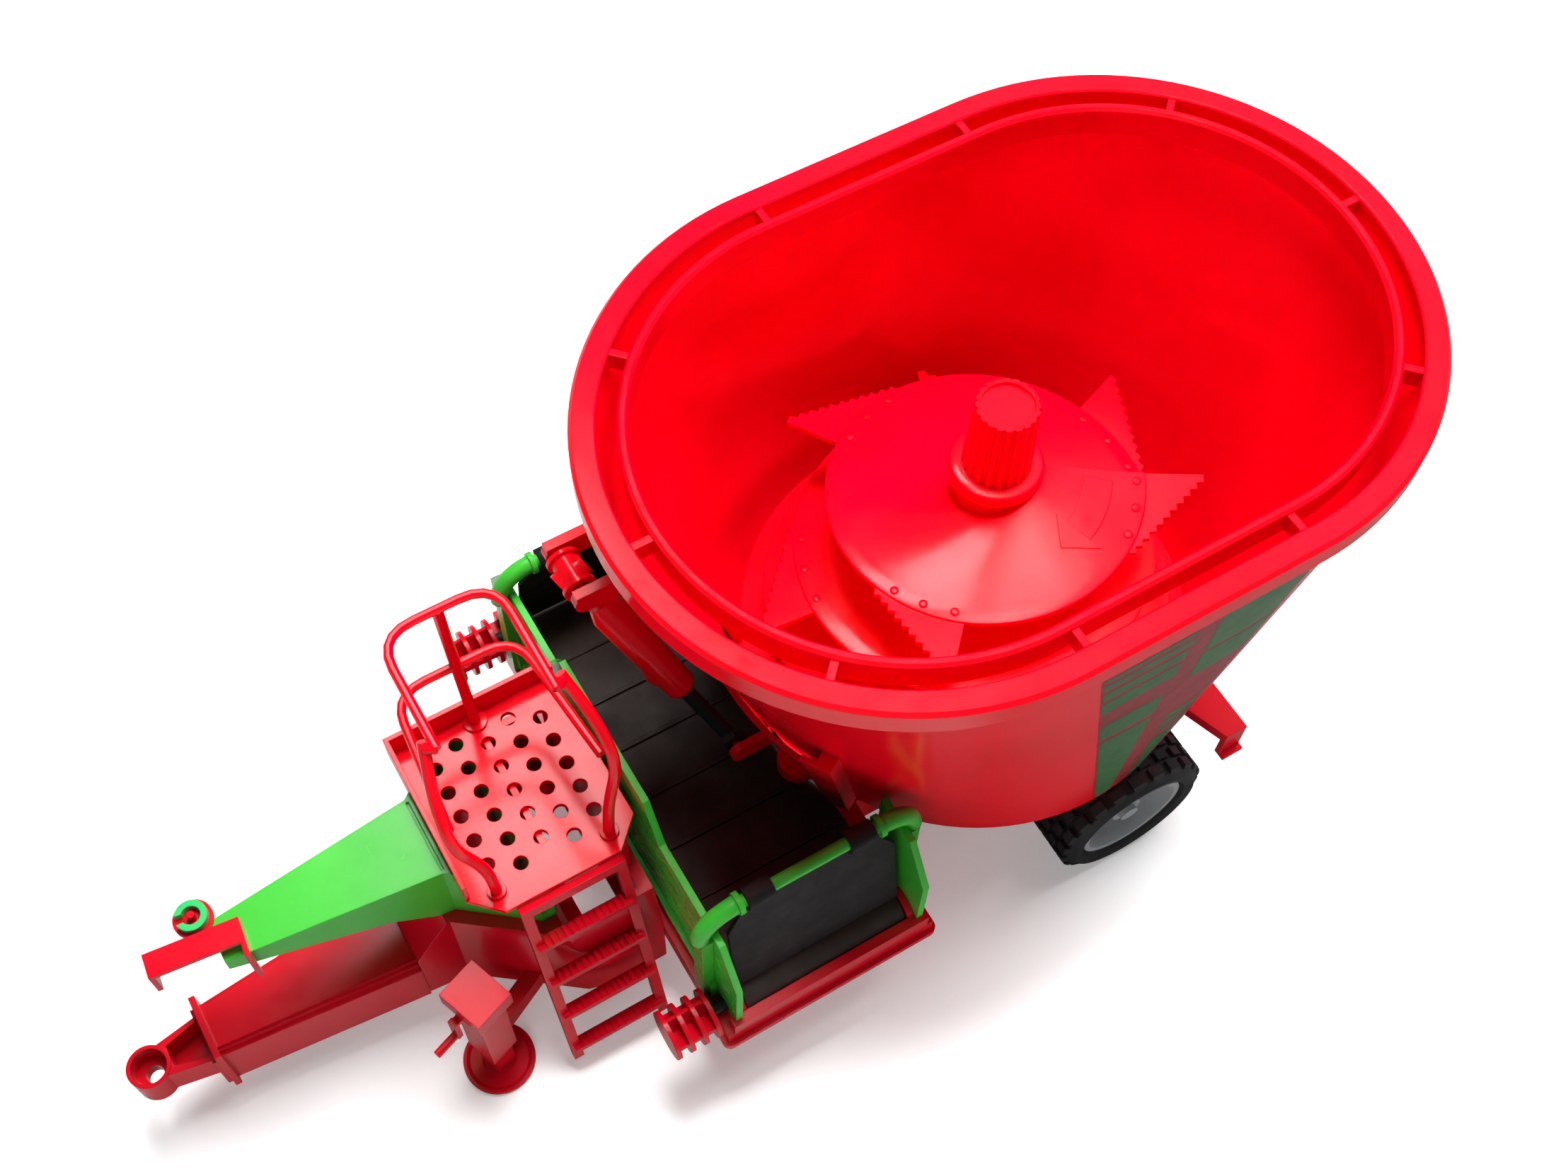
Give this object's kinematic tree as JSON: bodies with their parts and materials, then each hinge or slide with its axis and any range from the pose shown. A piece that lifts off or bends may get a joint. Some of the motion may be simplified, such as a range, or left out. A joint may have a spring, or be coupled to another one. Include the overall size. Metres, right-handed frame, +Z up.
{
  "type": "toy feed mixer wagon",
  "caption": "Toy feed mixer wagon with an oval tub round a vertical auger, a cross conveyor with rubber flaps, a sliding discharge door, a drawbar and a platform with a ladder.",
  "frame": {"origin": "centre of the overall box in plan, on the floor that the wheels and the jack's foot stand on", "axes": "+X from the tub to the drawbar's eye, +Y to the ladder side, +Z up"},
  "size_m": [0.3869, 0.1614, 0.182],
  "materials": {
    "red": "moulded, satin gloss",
    "green": "moulded, satin gloss",
    "grey": "moulded, satin",
    "black": "moulded, satin",
    "flap": "soft, matt",
    "tread": "matt tread"
  },
  "bodies": {
    "wagon": {"tub": "red", "spill_ring": "red", "cylinder_pin": "red", "chassis": "red", "axle": "grey", "drawbar": "red", "front_cover": "green", "hose_bracket": "red", "hose_clip": "green", "platform": "red", "handrail": "red", "ladder": "red", "jack_housing": "red", "jack_crank": "red", "jack_leg": "red", "conveyor_base": "red", "front_plate": "green", "rear_plate_left": "green", "rear_plate_right": "green", "hoop_left": "green", "hoop_right": "green", "belt": "flap", "rear_bumper": "red"},
    "wheel_left": {"wheel_left": "grey", "tyre_left": "tread"},
    "wheel_right": {"wheel_right": "grey", "tyre_right": "tread"},
    "auger": {"auger": "red", "auger_knob": "red"},
    "door": {"discharge_door": "red"},
    "barrel": {"cylinder_barrel": "red"},
    "rod": {"cylinder_rod": "black"},
    "flap_left": {"flap_left": "flap"},
    "flap_right": {"flap_right": "flap"},
    "roller_left": {"roller_left": "black", "knob_left": "red"},
    "roller_right": {"roller_right": "black", "knob_right": "red"}
  },
  "joints": [
    {"name": "wheel_left_spin", "type": "hinge", "parent": "wagon", "child": "wheel_left", "pos_m": [-0.09555, 0.065, 0.0252], "axis": [0, 1, 0], "continuous": true},
    {"name": "wheel_right_spin", "type": "hinge", "parent": "wagon", "child": "wheel_right", "pos_m": [-0.09555, -0.065, 0.0252], "axis": [0, 1, 0], "continuous": true},
    {"name": "auger_turn", "type": "hinge", "parent": "wagon", "child": "auger", "pos_m": [-0.07905, 0, 0.052], "axis": [0, 0, 1], "continuous": true},
    {"name": "door_lift", "type": "slide", "parent": "wagon", "child": "door", "axis": [0.3093, 0, 0.951], "range_m": [0, 0.024]},
    {"name": "barrel_swing", "type": "hinge", "parent": "wagon", "child": "barrel", "pos_m": [0.03291, -0.031, 0.126], "axis": [0.9345, 0.1855, -0.3039], "range_deg": [-0.5, 13.5]},
    {"name": "rod_slide", "type": "slide", "parent": "barrel", "child": "rod", "axis": [-0.3558, 0.5181, -0.7778], "range_m": [-0.0195, 0.0005]},
    {"name": "flap_left_swing", "type": "hinge", "parent": "wagon", "child": "flap_left", "pos_m": [0.0127, 0.0588, 0.092], "axis": [1, 0, 0], "range_deg": [-10, 80]},
    {"name": "flap_right_swing", "type": "hinge", "parent": "wagon", "child": "flap_right", "pos_m": [0.0127, -0.0588, 0.092], "axis": [-1, 0, 0], "range_deg": [-10, 80]},
    {"name": "roller_left_turn", "type": "hinge", "parent": "wagon", "child": "roller_left", "pos_m": [0.0127, 0.067, 0.045], "axis": [1, 0, 0], "continuous": true},
    {"name": "roller_right_turn", "type": "hinge", "parent": "wagon", "child": "roller_right", "pos_m": [0.0127, -0.067, 0.045], "axis": [1, 0, 0], "continuous": true}
  ],
  "couplings": [
    {"joint": "barrel_swing", "follows": "door_lift", "rad_per_m": 8.6809},
    {"joint": "rod_slide", "follows": "door_lift", "ratio": -0.80735},
    {"joint": "roller_right_turn", "follows": "roller_left_turn", "ratio": 1}
  ]
}
